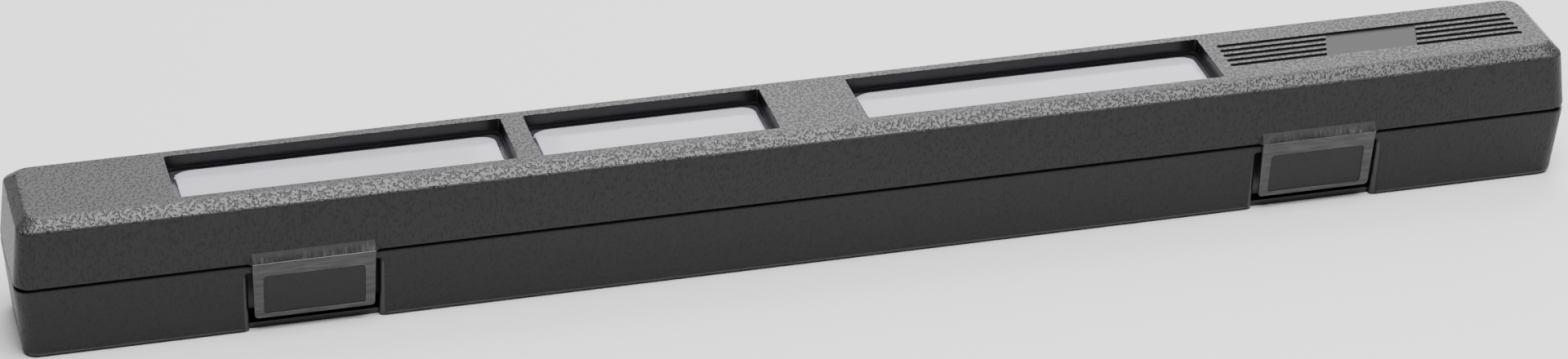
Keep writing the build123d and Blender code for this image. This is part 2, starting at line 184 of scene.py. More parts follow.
class StageSizes(bpy.types.PropertyGroup):
    """Camera and lights."""
    camera_place: bpy.props.FloatVectorProperty(
        name="Camera place", description="Where the camera stands", size=3, subtype="TRANSLATION",
        unit="LENGTH", default=(-0.47902, -1.75665, 1.01569))
    focal: bpy.props.FloatProperty(name="Lens", description="Focal length in millimetres", default=109.27)
    left_light: bpy.props.FloatProperty(
        name="Left card", description="Radiance of the left card behind the case", default=1.6)
    right_light: bpy.props.FloatProperty(
        name="Right card", description="Radiance of the right card behind the case", default=3.8)
    high_light: bpy.props.FloatProperty(
        name="High card", description="Radiance of the card above the case", default=6.0)
    top_light: bpy.props.FloatProperty(
        name="Top card", description="Radiance of the card in front above", default=12.0)
    room_light: bpy.props.FloatProperty(name="Room", description="Radiance of the pale room", default=0.16)


class CaseColours(bpy.types.PropertyGroup):
    """Colours of the materials."""
    plastic: colour("Case plastic", "Black moulded polyethylene", "#151516")
    # Darker than the lid's plastic: painted shade on the lower half, which is the same plastic
    base_plastic_painted_shade: colour("Base plastic", "Case plastic as the lower half shows it", "#0f0f10")
    # The grain's valley colours are darker than the plastic as painted shade between the ridges
    side_valley_shade: colour("Side grain", "Between the ridges of the fine grain", "#0c0c0d")
    # The top's ridges are lighter than the plastic as painted sheen
    ridge_tone_and_sheen: colour("Top ridges", "Ridges of the top's coarse grain", "#343436")
    # Painted shade between the top's ridges
    valley_shade: colour("Top grain", "Between the ridges of the coarse grain", "#0d0d0e")
    flap: colour("Flap plastic", "Black polypropylene of the flaps", "#111112")
    # Pale streaks that the flap's material mixes over the whole flap, drawn out along the case
    border: colour("Flap border", "Pale scuffs on the flaps' smooth border", "#39393b")
    pale_tone: colour("Stressed plastic", "Plastic whitened by bending", "#727274")
    sheet: colour("Formed sheet", "Inner trays", "#222223")
    foam: colour("Foam", "Pads", "#3a3a3c")
    pane: colour("Pane", "Clear plastic", "#ece9f4")
    # Grey tint as painted shade along the pane's edge next to the frame; its low haze lets the dark inside show
    # through
    flange: colour("Pane flange", "Clear plastic over the dark frame", "#77757e")
    steel: colour("Steel", "Hinge pins", "#b9babc")
    floor: colour("Floor", "Pale floor", "#ececec")


def deselect():
    """Leaves edit mode and deselects everything."""
    if bpy.context.object and bpy.context.object.mode != "OBJECT":
        bpy.ops.object.mode_set(mode="OBJECT")
    bpy.ops.object.select_all(action="DESELECT")


def activate(piece):
    """Makes this piece the only selected one."""
    deselect()
    piece.select_set(True)
    bpy.context.view_layer.objects.active = piece


def edit(piece):
    """Opens a piece in edit mode."""
    activate(piece)
    bpy.ops.object.mode_set(mode="EDIT")


def done(piece):
    """Closes edit mode and hands the piece on."""
    bpy.ops.object.mode_set(mode="OBJECT")
    return piece


def pick(piece, kind, test):
    """Selects the vertices, edges or faces for which the test holds, in edit mode."""
    bpy.context.tool_settings.mesh_select_mode = (kind == "VERT", kind == "EDGE", kind == "FACE")
    mesh = bmesh.from_edit_mesh(piece.data)
    for group in (mesh.verts, mesh.edges, mesh.faces):
        for part in group:
            part.select = False
    found = [part for part in {"VERT": mesh.verts, "EDGE": mesh.edges, "FACE": mesh.faces}[kind] if test(part)]
    for part in found:
        part.select_set(True)
    mesh.select_flush_mode()
    bmesh.update_edit_mesh(piece.data)
    if not found:
        raise RuntimeError(f"nothing to select on {piece.name}")


def at_height(z):
    """Test for vertices at one height."""
    return lambda vertex: abs(vertex.co.z - z) < TINY


def edge_at(z):
    """Test for edges that lie at one height."""
    return lambda line: all(abs(vertex.co.z - z) < TINY for vertex in line.verts)


def face_at(z):
    """Test for the flat face at one height."""
    return lambda side: all(abs(vertex.co.z - z) < TINY for vertex in side.verts)


def is_upright(line):
    """Whether an edge of a plain block runs up."""
    a, b = line.verts
    return abs(a.co.x - b.co.x) < TINY and abs(a.co.y - b.co.y) < TINY


def block(name, low, high):
    """Plain block between two corners, with its place in its mesh."""
    deselect()
    low, high = Vector(low), Vector(high)
    bpy.ops.mesh.primitive_cube_add(size=1, location=(low + high) / 2)
    piece = bpy.context.object
    piece.name = piece.data.name = name
    piece.scale = high - low
    bpy.ops.object.transform_apply(location=True, rotation=True, scale=True)
    return piece


def rounded_block(name, low, high, radius, steps=8):
    """Block whose upright edges are rounded."""
    piece = block(name, low, high)
    edit(piece)
    pick(piece, "EDGE", is_upright)
    bpy.ops.mesh.bevel(offset=radius, segments=steps, affect="EDGES", clamp_overlap=False)
    return done(piece)


def resize_ring(piece, z, factor_x, factor_y, centre=(0, 0)):
    """Scales all vertices at one height about a centre."""
    edit(piece)
    pick(piece, "VERT", at_height(z))
    bpy.ops.transform.resize(value=(factor_x, factor_y, 1), center_override=(*centre, z))
    return done(piece)


def grow_up(piece, z, rise, factor_x=1.0, factor_y=1.0, centre=(0, 0)):
    """Extrudes the flat face at one height upwards and scales the new one."""
    edit(piece)
    pick(piece, "FACE", face_at(z))
    bpy.ops.mesh.extrude_region_move(TRANSFORM_OT_translate={"value": (0, 0, rise)})
    bpy.ops.transform.resize(value=(factor_x, factor_y, 1), center_override=(*centre, z + rise))
    return done(piece)


def round_edges(piece, test, radius, steps):
    """Bevels the edges for which the test holds."""
    edit(piece)
    pick(piece, "EDGE", test)
    bpy.ops.mesh.bevel(offset=radius, segments=steps, affect="EDGES", clamp_overlap=False)
    return done(piece)


def combine(piece, other, operation):
    """Joins, cuts or intersects a piece with another one, which is used up."""
    activate(piece)
    bpy.ops.object.modifier_add(type="BOOLEAN")
    change = piece.modifiers[-1]
    change.operation, change.solver, change.object = operation, "EXACT", other
    bpy.ops.object.modifier_apply(modifier=change.name)
    bpy.data.objects.remove(other, do_unlink=True)
    return piece


def soften(piece, width, angle=50, steps=2):
    """Rounds every sharp edge a little and smooths the shading."""
    activate(piece)
    bpy.ops.object.modifier_add(type="BEVEL")
    change = piece.modifiers[-1]
    change.width, change.segments, change.limit_method = width, steps, "ANGLE"
    change.angle_limit, change.use_clamp_overlap, change.harden_normals = radians(angle), True, False
    change.miter_outer = "MITER_ARC"
    bpy.ops.object.modifier_apply(modifier=change.name)
    bpy.ops.object.shade_smooth_by_angle(angle=radians(32))
    bpy.ops.object.modifier_add(type="WEIGHTED_NORMAL")
    piece.modifiers[-1].keep_sharp = True
    bpy.ops.object.modifier_apply(modifier=piece.modifiers[-1].name)
    return piece


def turned(piece, angle, place):
    """Turns a piece that was made at the origin about X, puts it in place and applies both."""
    activate(piece)
    piece.rotation_euler = (angle, 0, 0)
    piece.location = place
    bpy.ops.object.transform_apply(location=True, rotation=True, scale=True)
    return piece


def paint(piece, materials, choose):
    """Gives each face the material whose number choose returns for the face's middle and normal."""
    piece.data.materials.clear()
    for material in materials:
        piece.data.materials.append(material)
    for side in piece.data.polygons:
        side.material_index = choose(side.center, side.normal)


def copy_along_x(piece, name, shift):
    """Copy of a piece, with a mesh of its own, moved along the case."""
    other = piece.copy()
    other.data = piece.data.copy()
    other.name = other.data.name = name
    bpy.context.collection.objects.link(other)
    other.data.transform(Matrix.Translation((shift, 0, 0)))
    return other


# Materials

def add_node(tree, kind, inputs=None, **settings):
    """Adds a node, sets its properties, and sets or links its inputs."""
    made = tree.nodes.new(kind)
    for key, value in settings.items():
        setattr(made, key, value)
    for key, value in (inputs or {}).items():
        if isinstance(value, tuple) and isinstance(value[0], bpy.types.Node):
            tree.links.new(value[0].outputs[value[1]], made.inputs[key])
        else:
            made.inputs[key].default_value = value
    return made


def new_material(name):
    """Empty material with its shader, and the shader's tree."""
    material = bpy.data.materials.new(name)
    material.use_nodes = True
    tree = material.node_tree
    return material, tree, tree.nodes["Principled BSDF"]


def grained_plastic(name, ridge_tone_and_sheen, valley_shade, grain, depth, roughness, dulling, stretch=1.0, ior=1.51):
    """Moulded polyethylene with a leather grain: satin ridges with a dull net between them, darkened as painted
    shade. A ridge colour lighter than the plastic, as on the top, is painted sheen.

    The photo doesn't resolve the real grain. It is drawn as coarse as it needs to be to show in the
    render: a grain of 1.0 mm on the top, tried with a slightly shallower bump, vanished there.
    """
    material, tree, shader = new_material(name)
    place = add_node(tree, "ShaderNodeTexCoord")
    drawn = add_node(tree, "ShaderNodeMapping", {"Vector": (place, "Object"), "Scale": (1.0, 1.0, stretch)})
    worms = add_node(tree, "ShaderNodeTexNoise", {
        "Vector": (drawn, "Vector"), "Scale": 1.0 / grain, "Detail": 1.5, "Roughness": 0.6, "Distortion": 0.4})
    ridges = add_node(tree, "ShaderNodeMapRange", {
        "Value": (worms, "Fac"), "From Min": 0.33, "From Max": 0.54}, interpolation_type="SMOOTHSTEP")
    tone = add_node(tree, "ShaderNodeMix", {"Factor": (ridges, "Result")}, data_type="RGBA")
    # Valleys get the darker colour as painted shade; on the top the lighter ridge colour is painted sheen
    tone.inputs[6].default_value, tone.inputs[7].default_value = valley_shade, ridge_tone_and_sheen
    tree.links.new(tone.outputs[2], shader.inputs["Base Color"])
    shine = add_node(tree, "ShaderNodeMapRange", {
        "Value": (ridges, "Result"), "To Min": roughness + dulling, "To Max": roughness})
    tree.links.new(shine.outputs["Result"], shader.inputs["Roughness"])
    bump = add_node(tree, "ShaderNodeBump", {"Height": (ridges, "Result"), "Distance": depth, "Strength": 1.0})
    tree.links.new(bump.outputs["Normal"], shader.inputs["Normal"])
    shader.inputs["IOR"].default_value = ior
    return material


def smooth_plastic(name, tint, roughness):
    """The same polyethylene from polished steel: darker and with a tighter sheen, faintly wavy."""
    material, tree, shader = new_material(name)
    place = add_node(tree, "ShaderNodeTexCoord")
    wave = add_node(tree, "ShaderNodeTexNoise", {"Vector": (place, "Object"), "Scale": 260.0, "Detail": 2.0})
    bump = add_node(tree, "ShaderNodeBump", {"Height": (wave, "Fac"), "Distance": 0.04 * MM, "Strength": 1.0})
    tree.links.new(bump.outputs["Normal"], shader.inputs["Normal"])
    shader.inputs["Base Color"].default_value = tint
    shader.inputs["Roughness"].default_value = roughness
    shader.inputs["IOR"].default_value = 1.51
    return material


def stressed_plastic(name, tint, pale_tone, low, high):
    """Polyethylene whitened by bending: pale upright streaks that fade out above the film hinge."""
    material, tree, shader = new_material(name)
    place = add_node(tree, "ShaderNodeTexCoord")
    squeezed = add_node(tree, "ShaderNodeMapping", {"Vector": (place, "Object"), "Scale": (1.0, 0.2, 0.22)})
    streaks = add_node(tree, "ShaderNodeTexNoise", {
        "Vector": (squeezed, "Vector"), "Scale": 1 / (0.8 * MM), "Detail": 3.0, "Roughness": 0.7})
    patches = add_node(tree, "ShaderNodeTexNoise", {"Vector": (place, "Object"), "Scale": 1 / (11 * MM)})
    split = add_node(tree, "ShaderNodeSeparateXYZ", {"Vector": (place, "Object")})
    fade = add_node(tree, "ShaderNodeMapRange", {
        "Value": (split, "Z"), "From Min": low, "From Max": high, "To Min": 0.55, "To Max": 0.0})
    strong = add_node(tree, "ShaderNodeMapRange", {
        "Value": (streaks, "Fac"), "From Min": 0.35, "From Max": 0.75}, interpolation_type="SMOOTHSTEP")
    patchy = add_node(tree, "ShaderNodeMapRange", {
        "Value": (patches, "Fac"), "From Min": 0.3, "From Max": 0.65, "To Min": 0.3, "To Max": 1.3})
    amount = add_node(tree, "ShaderNodeMath", {
        0: (strong, "Result"), 1: (fade, "Result")}, operation="MULTIPLY")
    spread = add_node(tree, "ShaderNodeMath", {
        0: (amount, "Value"), 1: (patchy, "Result")}, operation="MULTIPLY")
    tone = add_node(tree, "ShaderNodeMix", {"Factor": (spread, "Value")}, data_type="RGBA")
    tone.inputs[6].default_value, tone.inputs[7].default_value = tint, pale_tone
    tree.links.new(tone.outputs[2], shader.inputs["Base Color"])
    bump = add_node(tree, "ShaderNodeBump", {"Height": (streaks, "Fac"), "Distance": 0.1 * MM, "Strength": 1.0})
    tree.links.new(bump.outputs["Normal"], shader.inputs["Normal"])
    shader.inputs["Roughness"].default_value = 0.42
    shader.inputs["IOR"].default_value = 1.51
    return material


def streaked_flap_plastic(name, tint, pale_tone, roughness):
    """Smooth polypropylene: level pale streaks, drawn out along the case, on a dark, glossy ground."""
    material, tree, shader = new_material(name)
    place = add_node(tree, "ShaderNodeTexCoord")
    drawn = add_node(tree, "ShaderNodeMapping", {"Vector": (place, "Object"), "Scale": (0.15, 1.0, 1.0)})
    streak_marks = add_node(tree, "ShaderNodeTexNoise", {
        "Vector": (drawn, "Vector"), "Scale": 1 / (1.6 * MM), "Detail": 2.0, "Roughness": 0.6})
    amount = add_node(tree, "ShaderNodeMapRange", {"Value": (streak_marks, "Fac"), "From Min": 0.3, "From Max": 0.7})
    tone = add_node(tree, "ShaderNodeMix", {"Factor": (amount, "Result")}, data_type="RGBA")
    tone.inputs[6].default_value, tone.inputs[7].default_value = tint, pale_tone
    tree.links.new(tone.outputs[2], shader.inputs["Base Color"])
    bump = add_node(tree, "ShaderNodeBump", {"Height": (streak_marks, "Fac"), "Distance": 0.06 * MM, "Strength": 1.0})
    tree.links.new(bump.outputs["Normal"], shader.inputs["Normal"])
    shader.inputs["Roughness"].default_value = roughness
    shader.inputs["IOR"].default_value = 1.49
    return material


def clear_plastic(name, tint, haze):
    """Clear polystyrene sheet, formed hot: glossy, slightly wavy and, by the share haze, milky."""
    material, tree, shader = new_material(name)
    place = add_node(tree, "ShaderNodeTexCoord")
    wave = add_node(tree, "ShaderNodeTexNoise", {"Vector": (place, "Object"), "Scale": 30.0, "Detail": 1.0})
    bump = add_node(tree, "ShaderNodeBump", {"Height": (wave, "Fac"), "Distance": 0.1 * MM, "Strength": 1.0})
    tree.links.new(bump.outputs["Normal"], shader.inputs["Normal"])
    shader.inputs["Base Color"].default_value = tint
    shader.inputs["Roughness"].default_value = 0.14
    shader.inputs["IOR"].default_value = 1.57
    shader.inputs["Transmission Weight"].default_value = 1.0 - haze
    return material


def foam_rubber(name, tint):
    """Open-cell polyurethane foam: dull, with small pores darkened as painted shade."""
    material, tree, shader = new_material(name)
    place = add_node(tree, "ShaderNodeTexCoord")
    pores = add_node(tree, "ShaderNodeTexVoronoi", {"Vector": (place, "Object"), "Scale": 1 / (0.9 * MM)})
    hole = add_node(tree, "ShaderNodeMapRange", {
        "Value": (pores, "Distance"), "From Min": 0.1, "From Max": 0.5})
    tone = add_node(tree, "ShaderNodeMix", {"Factor": (hole, "Result")}, data_type="RGBA")
    # The pores' darker colour is painted shade
    tone.inputs[6].default_value = [value * 0.4 for value in tint[:3]] + [1.0]
    tone.inputs[7].default_value = tint
    tree.links.new(tone.outputs[2], shader.inputs["Base Color"])
    bump = add_node(tree, "ShaderNodeBump", {"Height": (hole, "Result"), "Distance": 0.3 * MM, "Strength": 1.0})
    tree.links.new(bump.outputs["Normal"], shader.inputs["Normal"])
    shader.inputs["Roughness"].default_value = 0.95
    return material


def drawn_steel(name, tint):
    """Drawn wire: fine lines along the pin stretch its highlight."""
    material, tree, shader = new_material(name)
    place = add_node(tree, "ShaderNodeTexCoord")
    along = add_node(tree, "ShaderNodeMapping", {"Vector": (place, "Object"), "Scale": (0.03, 1.0, 1.0)})
    lines = add_node(tree, "ShaderNodeTexNoise", {"Vector": (along, "Vector"), "Scale": 1 / (0.25 * MM)})
    rough = add_node(tree, "ShaderNodeMapRange", {"Value": (lines, "Fac"), "To Min": 0.25, "To Max": 0.45})
    tree.links.new(rough.outputs["Result"], shader.inputs["Roughness"])
    shader.inputs["Base Color"].default_value = tint
    shader.inputs["Metallic"].default_value = 1.0
    return material


MATERIALS = {}


def make_materials():
    """Makes each material once."""
    if MATERIALS:
        return
    c = bpy.context.scene.case_colours
    s = bpy.context.scene.case_sizes
    latch = bpy.context.scene.latch_sizes
    # The sides and the panel have an index below polyethylene's 1.51, and the base is darker than the lid: its
    # colour is painted shade on the lower half of the same plastic. Both were set by the photo's tones alone
    # and have no other basis.
    MATERIALS.update({
        # The top's lighter ridges are painted sheen; the valleys of every grain are painted shade
        "top": grained_plastic("grained_polyethylene_top_painted_sheen", c.ridge_tone_and_sheen, c.valley_shade, 1.3 * MM, 0.18 * MM, 0.33, 0.10),
        "side": grained_plastic("grained_polyethylene_side", c.plastic, c.side_valley_shade, 1.1 * MM, 0.10 * MM,
                                0.42, 0.10, 0.5, 1.37),
        "smooth": smooth_plastic("polished_polyethylene", c.plastic, 0.30),
        "field": smooth_plastic("satin_polyethylene_field", c.plastic, 0.52),
        "stressed": stressed_plastic("stress_whitened_polyethylene", c.plastic, c.pale_tone,
                                     s.lid_edge, s.lid_edge + latch.swell),
        # The base's darker copy is painted shade on its lower half
        "base_side_painted_shade": grained_plastic("grained_polyethylene_base_painted_shade", c.base_plastic_painted_shade, c.valley_shade, 1.1 * MM, 0.10 * MM,
                                     0.46, 0.10, 0.5, 1.37),
        "panel": grained_plastic("grained_polypropylene_panel", c.flap, c.side_valley_shade, 0.8 * MM, 0.05 * MM,
                                 0.44, 0.10, 1.0, 1.37),
        "flap": streaked_flap_plastic("streaked_polypropylene_flap", c.flap, c.border, 0.28),
        "sheet": smooth_plastic("formed_polystyrene_sheet", c.sheet, 0.42),
        "pane": clear_plastic("hazy_polystyrene_pane", c.pane, 0.42),
        # The flange's grey tint is painted shade along the frame
        "flange": clear_plastic("clear_polystyrene_flange", c.flange, 0.05),
        "foam": foam_rubber("open_cell_foam", c.foam),
        "steel": drawn_steel("drawn_steel_wire", c.steel),
    })


# Pieces

def hinge_places(s):
    """Middle of each rear hinge along X."""
    return (-s.case_length / 2 + HINGE_END, 0.0, s.case_length / 2 - HINGE_END)


def latch_places(s):
    """Middle of each latch along X."""
    return {"left": -s.case_length / 2 + LATCH_ENDS["left"], "right": s.case_length / 2 - LATCH_ENDS["right"]}


def window_spans(lid):
    """Ends of each window along X, read from its pane's place in the frame."""
    spans = {}
    for side in ("left", "middle", "right"):
        low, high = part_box("window_pane_" + side)
        spans[side] = (low[0] + lid.pane_overlap, high[0] - lid.pane_overlap)
    return spans


def lid_block(s, name, inset, low, foot, top, steps=10):
    """Drafted block with a bevelled top that follows the lid's walls, drawn in by inset."""
    x, y = s.case_length / 2 - inset, s.case_depth / 2 - inset
    radius = s.corner - 0.6 * inset
    piece = rounded_block(name, (-x, -y, low), (x, y, foot), radius, steps)
    resize_ring(piece, foot, (x - s.lid_end_lean) / x, (y - s.lid_side_lean) / y)
    inner_x, inner_y = x - s.lid_end_lean, y - s.lid_side_lean
    return grow_up(piece, foot, top - foot, (inner_x - s.bevel_inset) / inner_x,
                   (inner_y - s.bevel_inset) / inner_y)


def flared_cutter(name, low, high, corner, flare, steps=5):
    """Rounded block that opens out at its top, to leave a rounded upper edge."""
    (x0, y0, _), (x1, y1, z1) = low, high
    centre = ((x0 + x1) / 2, (y0 + y1) / 2)
    wide, deep = x1 - x0, y1 - y0
    piece = rounded_block(name, low, (x1, y1, z1 - flare), corner, steps)
    z, out = z1 - flare, 0.0
    for step in (1, 2, 3):
        angle = step * pi / 6
        rise, spread = flare * sin(angle), flare * (1 - cos(angle))
        grow_up(piece, z, z1 - flare + rise - z, (wide + 2 * spread) / (wide + 2 * out),
                (deep + 2 * spread) / (deep + 2 * out), centre)
        z, out = z1 - flare + rise, spread
    return grow_up(piece, z, 1 * MM)


def crown(piece, z, centre, wide, deep, steps):
    """Raises the flat face at one height in rings; each step is how far it goes in and how far up."""
    edit(piece)
    pick(piece, "FACE", face_at(z))
    for inset, rise in steps:
        z += rise
        bpy.ops.mesh.extrude_region_move(TRANSFORM_OT_translate={"value": (0, 0, rise)})
        bpy.ops.transform.resize(value=((wide - 2 * inset) / wide, (deep - 2 * inset) / deep, 1),
                                 center_override=(*centre, z))
        wide, deep = wide - 2 * inset, deep - 2 * inset
    return done(piece)


def knuckle(s, name, middle, up):
    """One knuckle of the rear hinge with the gusset that carries it."""
    radius, long = KNUCKLE_RADIUS, KNUCKLE_LENGTH
    y, z = s.case_depth / 2 + KNUCKLE_GAP + radius, (s.base_height + s.lid_edge) / 2
    deselect()
    bpy.ops.mesh.primitive_cylinder_add(vertices=48, radius=radius, depth=long, location=(middle, y, z),
                                        rotation=(0, pi / 2, 0))
    piece = bpy.context.object
    piece.name = name
    bpy.ops.object.transform_apply(location=True, rotation=True, scale=True)
    near = z + up * GUSSET_START
    far = near + up * GUSSET_HEIGHT
    low, high = sorted((near, far))
    rib = block("rib", (middle - long / 2, s.case_depth / 2 - s.wall / 2, low),
                (middle + long / 2, y + radius * 0.86, high))
    edit(rib)
    pick(rib, "VERT", lambda v: abs(v.co.z - far) < TINY and v.co.y > y)
    bpy.ops.transform.translate(value=(0, s.case_depth / 2 + 0.4 * radius - y - radius * 0.86, 0))
    done(rib)
    return combine(piece, rib, "UNION")


def add_knuckles(piece, s, up):
    """Adds one half's knuckles: two for the base and one for the lid at each hinge."""
    for place in hinge_places(s):
        for shift in ((0,) if up > 0 else (-KNUCKLE_PITCH, KNUCKLE_PITCH)):
            combine(piece, knuckle(s, "knuckle", place + shift, up), "UNION")
    return piece


def pocket(s, latch, x):
    """Hollow behind a flap, open at the underside, whose mouth is rounded outwards."""
    tall = s.base_height - latch.ledge + 12 * MM
    wide = latch.width + 2 * latch.pocket_gap
    piece = rounded_block("pocket", (-wide / 2, -tall, -latch.pocket_sink),
                          (wide / 2, 0, -latch.pocket_sink * 0.6), POCKET_CORNER, 5)
    z, out = -latch.pocket_sink * 0.6, 0.0
    for share, rise in ((0.12, 0.25), (0.3, 0.22), (0.6, 0.16), (1.0, 0.12)):
        spread = latch.pocket_flare * share
        factor = (wide + 2 * spread) / (wide + 2 * out)
        grow_up(piece, z, rise * latch.pocket_sink * 0.8, factor, 1.0, (0, 0))
        z += rise * latch.pocket_sink * 0.8
        out = spread
    grow_up(piece, z, 2.5 * MM)
    return turned(piece, pi / 2 + atan2(s.base_side_lean, s.base_height), (
        x, -s.case_depth / 2 + s.base_side_lean * latch.ledge / s.base_height, s.base_height - latch.ledge))


def film_swelling(s, latch, x):
    """Swelling on the lid's face that carries a flap's film hinge."""
    face = -s.case_depth / 2
    half = latch.width / 2
    foot = half + latch.swell_blend
    piece = block("swelling", (x - foot, face - latch.film_proud, s.lid_edge),
                  (x + foot, face + s.wall / 2, s.lid_edge + latch.swell))
    edit(piece)
    pick(piece, "VERT", lambda v: v.co.y < face)
    bpy.ops.transform.resize(value=(half / foot, 1, 1), center_override=(x, face, s.lid_edge))
    pick(piece, "VERT", lambda v: v.co.z > s.lid_edge + TINY and v.co.y < face)
    bpy.ops.transform.translate(value=(0, latch.film_proud + s.lid_side_lean / 5, 0))
    done(piece)
    bead = block("cove", (x - foot - MM, face - latch.film_proud - 0.6 * MM, s.lid_edge - 0.7 * MM),
                 (x + foot + MM, face - latch.film_proud + 0.6 * MM, s.lid_edge + 0.45 * MM))
    return combine(piece, bead, "DIFFERENCE")


class CASE_OT_base_shell(bpy.types.Operator):
    """Models the base's outer moulding"""
    bl_idname = "tool_case.base_shell"
    bl_label = "Base shell"

    def execute(self, context):
        make_materials()
        s, latch = context.scene.case_sizes, context.scene.latch_sizes
        x, y, rim = s.case_length / 2, s.case_depth / 2, s.base_height
        shell = rounded_block("base_moulding", (-x, -y, 0), (x, y, rim), s.corner, 10)
        resize_ring(shell, 0, (x - s.base_end_lean) / x, (y - s.base_side_lean) / y)
        round_edges(shell, edge_at(0), s.underside_round, 4)
        round_edges(shell, edge_at(rim), s.rim_round, 2)
        inset = s.tongue_inset
        tongue = rounded_block("tongue", (inset - x, inset - y, rim - MM),
                               (x - inset, y - inset, rim + s.tongue_height), s.corner - inset, 8)
        combine(shell, tongue, "UNION")
        inset = s.wall
        hollow = rounded_block("hollow", (inset - x, inset - y, inset), (x - inset, y - inset, rim + 6 * MM),
                               s.corner - 0.6 * inset, 8)
        resize_ring(hollow, inset, (x - inset - s.base_end_lean) / (x - inset),
                    (y - inset - s.base_side_lean) / (y - inset))
        combine(shell, hollow, "DIFFERENCE")
        for place in latch_places(s).values():
            combine(shell, pocket(s, latch, place), "DIFFERENCE")
        add_knuckles(shell, s, -1)
        soften(shell, 0.3 * MM)
        floor_y = -y + 1.6 * MM

        def finish_of(middle, normal):
            """Pockets, knuckles, underside and the inside are smooth, 1; the grained outside, darkened as
            painted shade, is 0.
            """
            beside = any(abs(middle.x - place) < latch.width / 2 + latch.pocket_gap + latch.pocket_flare
                         for place in latch_places(s).values())
            behind_face = floor_y + s.base_side_lean * (1 - middle.z / rim) < middle.y < 0
            in_pocket = beside and behind_face and middle.z < rim - latch.ledge + 0.3 * MM
            on_rim_or_hinge = middle.z > rim - 0.2 * MM or middle.y > y + 0.2 * MM
            inside = abs(middle.y) < y - inset and middle.z > MM and abs(middle.x) < x - inset - 2 * MM
            underneath = normal.z < -0.95 and middle.z < MM
            return 1 if in_pocket or on_rim_or_hinge or inside or underneath else 0

        paint(shell, [MATERIALS["base_side_painted_shade"], MATERIALS["smooth"]], finish_of)
        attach(shell, "base")
        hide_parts("base_shell")
        return {"FINISHED"}


class CASE_OT_lid_shell(bpy.types.Operator):
    """Models the lid's outer moulding with its windows and grooves"""
    bl_idname = "tool_case.lid_shell"
    bl_label = "Lid shell"

    def execute(self, context):
        make_materials()
        s, lid, latch = context.scene.case_sizes, context.scene.lid_sizes, context.scene.latch_sizes
        crease, top = s.lid_top - s.bevel_drop, s.lid_top
        shell = lid_block(s, "lid_moulding", 0, s.lid_edge, crease, top)
        round_edges(shell, edge_at(top), s.upper_crease, 4)
        round_edges(shell, edge_at(crease), s.lower_crease, 3)
        round_edges(shell, edge_at(s.lid_edge), s.rim_round, 2)
        inner = lid_block(s, "hollow", s.wall, s.lid_edge - MM, crease - 0.4 * s.wall, top - s.wall)
        combine(shell, inner, "DIFFERENCE")
        x, y = s.case_length / 2 - REBATE_INSET, s.case_depth / 2 - REBATE_INSET
        rebate = rounded_block("rebate", (-x, -y, s.lid_edge - MM), (x, y, s.lid_edge + REBATE_HEIGHT),
                               s.corner - MM)
        combine(shell, rebate, "DIFFERENCE")
        foot, wide = top - lid.window_sink, lid.window_width / 2
        for start, end in window_spans(lid).values():
            wall = lid.frame_wall
            rim = rounded_block("rim", (start - wall, -wide - wall, foot),
                                (end + wall, wide + wall, top - s.wall / 2), lid.window_corner + wall, 5)
            combine(shell, rim, "UNION")
        for start, end in window_spans(lid).values():
            recess = flared_cutter("recess", (start, -wide, foot + lid.lip_height), (end, wide, top),
                                   lid.window_corner, lid.edge_round)
            combine(shell, recess, "DIFFERENCE")
            lip = lid.lip_width
            mouth = rounded_block("mouth", (start + lip, lip - wide, foot - MM),
                                  (end - lip, wide - lip, top - 2 * MM), lid.pane_corner - lip, 6)
            combine(shell, mouth, "DIFFERENCE")
        count, half = lid.groove_count, lid.groove_width / 2
        for index in range(count):
            middle = (index - (count - 1) / 2) * lid.groove_pitch
            shift = lid.field_slant * middle
            for start, end in ((lid.groove_start, lid.field_from + shift + half),
                               (lid.field_to + shift - half, lid.groove_end)):
                groove = flared_cutter("groove", (start, middle - half, top - lid.groove_sink),
                                       (end, middle + half, top), half * 0.98, 0.3 * MM)
                combine(shell, groove, "DIFFERENCE")
        deep = (count - 1) / 2 * lid.groove_pitch + half
        field = block("field", (lid.field_from, -deep, top - lid.groove_sink), (lid.field_to, deep, top + MM))
        edit(field)
        for sign in (-1, 1):
            pick(field, "VERT", lambda v, sign=sign: v.co.y * sign > 0)
            bpy.ops.transform.translate(value=(sign * deep * lid.field_slant, 0, 0))
        done(field)
        combine(shell, field, "DIFFERENCE")
        for place in latch_places(s).values():
            combine(shell, film_swelling(s, latch, place), "UNION")
        add_knuckles(shell, s, 1)
        soften(shell, 0.25 * MM)
        face = -s.case_depth / 2
        spans = list(window_spans(lid).values())

        def finish_of(middle, normal):
            """0 grained side, 1 smooth, 2 stressed above a flap, 3 coarse top with painted sheen on its ridges,
            4 sunk field.
            """
            if middle.z < s.lid_edge + latch.swell and middle.y < face + 0.35 * MM and any(
                    abs(middle.x - place) < latch.width / 2 + MM for place in latch_places(s).values()):
                return 2
            in_window = abs(middle.y) < wide + 0.05 * MM and middle.z < top - 0.2 * MM and any(
                start - 0.05 * MM < middle.x < end + 0.05 * MM for start, end in spans)
            in_grooves = lid.groove_start - MM < middle.x < lid.groove_end + MM
            sunk = in_grooves and middle.z < top - 0.15 * MM and abs(middle.y) < wide
            inside = normal.z < -0.5 or middle.y > s.case_depth / 2 + 0.2 * MM
            if sunk and normal.z > 0.8:
                return 4
            if in_window or sunk or inside:
                return 1
            # Faces that look up take the top's finish, with painted sheen on its ridges
            return 3 if normal.z > 0.35 else 0

        paint(shell, [MATERIALS[name] for name in ("side", "smooth", "stressed", "top", "field")], finish_of)
        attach(shell, "lid")
        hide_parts("lid_shell")
        return {"FINISHED"}


